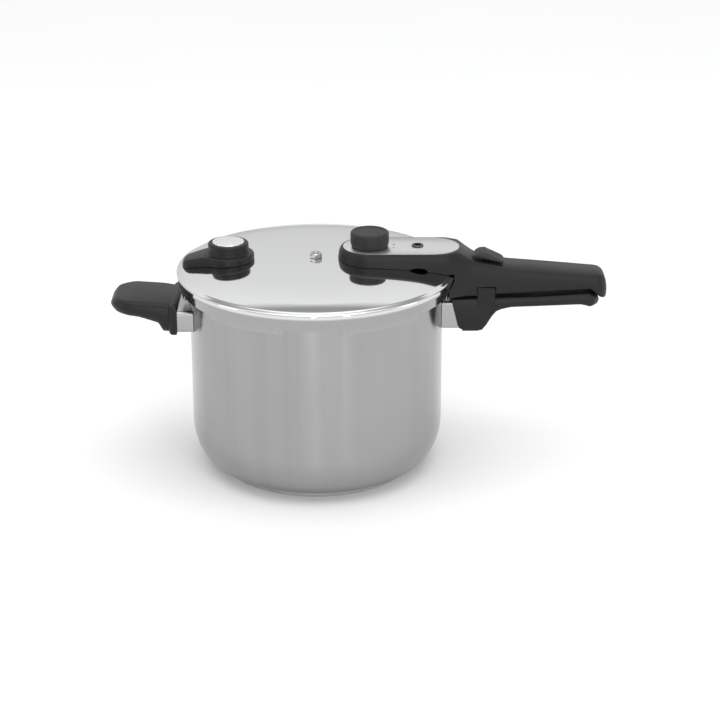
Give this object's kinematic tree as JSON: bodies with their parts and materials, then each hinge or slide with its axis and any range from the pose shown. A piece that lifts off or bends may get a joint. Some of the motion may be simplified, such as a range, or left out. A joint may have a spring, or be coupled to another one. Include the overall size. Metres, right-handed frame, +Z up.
{
  "type": "stovetop pressure cooker",
  "caption": "Stovetop pressure cooker: steel pot with a bayonet lid, two long black handles, a helper handle, a pressure knob, an indicator and a lock slider.",
  "frame": {"origin": "centre of the base's underside, on the pot's axis", "axes": "+Z up along the pot's axis; +X along the long handles, away from the pot; the helper handle points to -X"},
  "size_m": [0.4335, 0.244, 0.214],
  "materials": {
    "mirror_steel": "polished stainless steel, near mirror",
    "satin_steel": "satin stainless steel",
    "brushed_steel": "fine straight brushing",
    "plain_steel": "turned, pressed or drawn steel, plain",
    "aluminium": "plain",
    "black_plastic": "moulded phenolic, satin",
    "silicone": "moulded, matt"
  },
  "bodies": {
    "pot": {"pot_shell": "satin_steel", "base_cap": "satin_steel", "base_core": "aluminium", "pot_handle": "black_plastic", "pot_handle_screw": "plain_steel", "pot_handle_bracket": "plain_steel", "pot_flame_guard": "mirror_steel", "helper_handle": "black_plastic", "helper_screw_front": "plain_steel", "helper_screw_back": "plain_steel", "helper_bracket": "plain_steel", "helper_flame_guard": "mirror_steel"},
    "ring": {"sealing_ring": "silicone"},
    "lid": {"lid_shell": "mirror_steel", "lid_handle": "black_plastic", "cover_plate": "brushed_steel", "lid_handle_screw_1": "plain_steel", "lid_handle_screw_2": "plain_steel", "lid_handle_screw_3": "plain_steel", "window_ring": "mirror_steel", "valve_body": "plain_steel", "valve_nut": "plain_steel", "valve_seal": "silicone", "valve_spring": "plain_steel", "indicator_seal": "silicone", "safety_valve_body": "mirror_steel", "safety_nut": "plain_steel", "safety_seal": "silicone", "safety_seat": "plain_steel", "safety_spring": "plain_steel", "aux_handle": "black_plastic", "aux_cap": "brushed_steel", "aux_handle_screw": "plain_steel"},
    "knob": {"pressure_knob": "black_plastic"},
    "plunger": {"valve_plunger": "plain_steel"},
    "indicator": {"indicator_pin": "black_plastic"},
    "lock": {"lock_slider": "black_plastic", "lock_bolt": "plain_steel"},
    "safety": {"safety_pin": "plain_steel"}
  },
  "joints": [
    {"name": "lid_lift", "type": "slide", "parent": "pot", "child": "ring", "axis": [0, 0, 1], "range_m": [0, 0.12]},
    {"name": "lid_turn", "type": "hinge", "parent": "ring", "child": "lid", "pos_m": [0, 0, 0.18], "axis": [0, 0, 1], "range_deg": [0, 30]},
    {"name": "knob_turn", "type": "hinge", "parent": "lid", "child": "knob", "pos_m": [0.0468, 0, 0.2], "axis": [0, 0, 1], "range_deg": [0, 90]},
    {"name": "valve_lift", "type": "slide", "parent": "lid", "child": "plunger", "axis": [0, 0, 1], "range_m": [0, 0.0015], "stiffness_N_per_m": 600, "springref_m": -0.001, "deforming": ["valve_spring"]},
    {"name": "indicator_rise", "type": "slide", "parent": "lid", "child": "indicator", "axis": [0, 0, 1], "range_m": [0, 0.004]},
    {"name": "lock_slide", "type": "slide", "parent": "lid", "child": "lock", "axis": [0.9744, 0, -0.225], "range_m": [0, 0.008], "stiffness_N_per_m": 150, "springref_m": -0.004},
    {"name": "safety_lift", "type": "slide", "parent": "lid", "child": "safety", "axis": [0, 0, 1], "range_m": [0, 0.0015], "stiffness_N_per_m": 800, "springref_m": -0.001, "deforming": ["safety_spring"]}
  ]
}
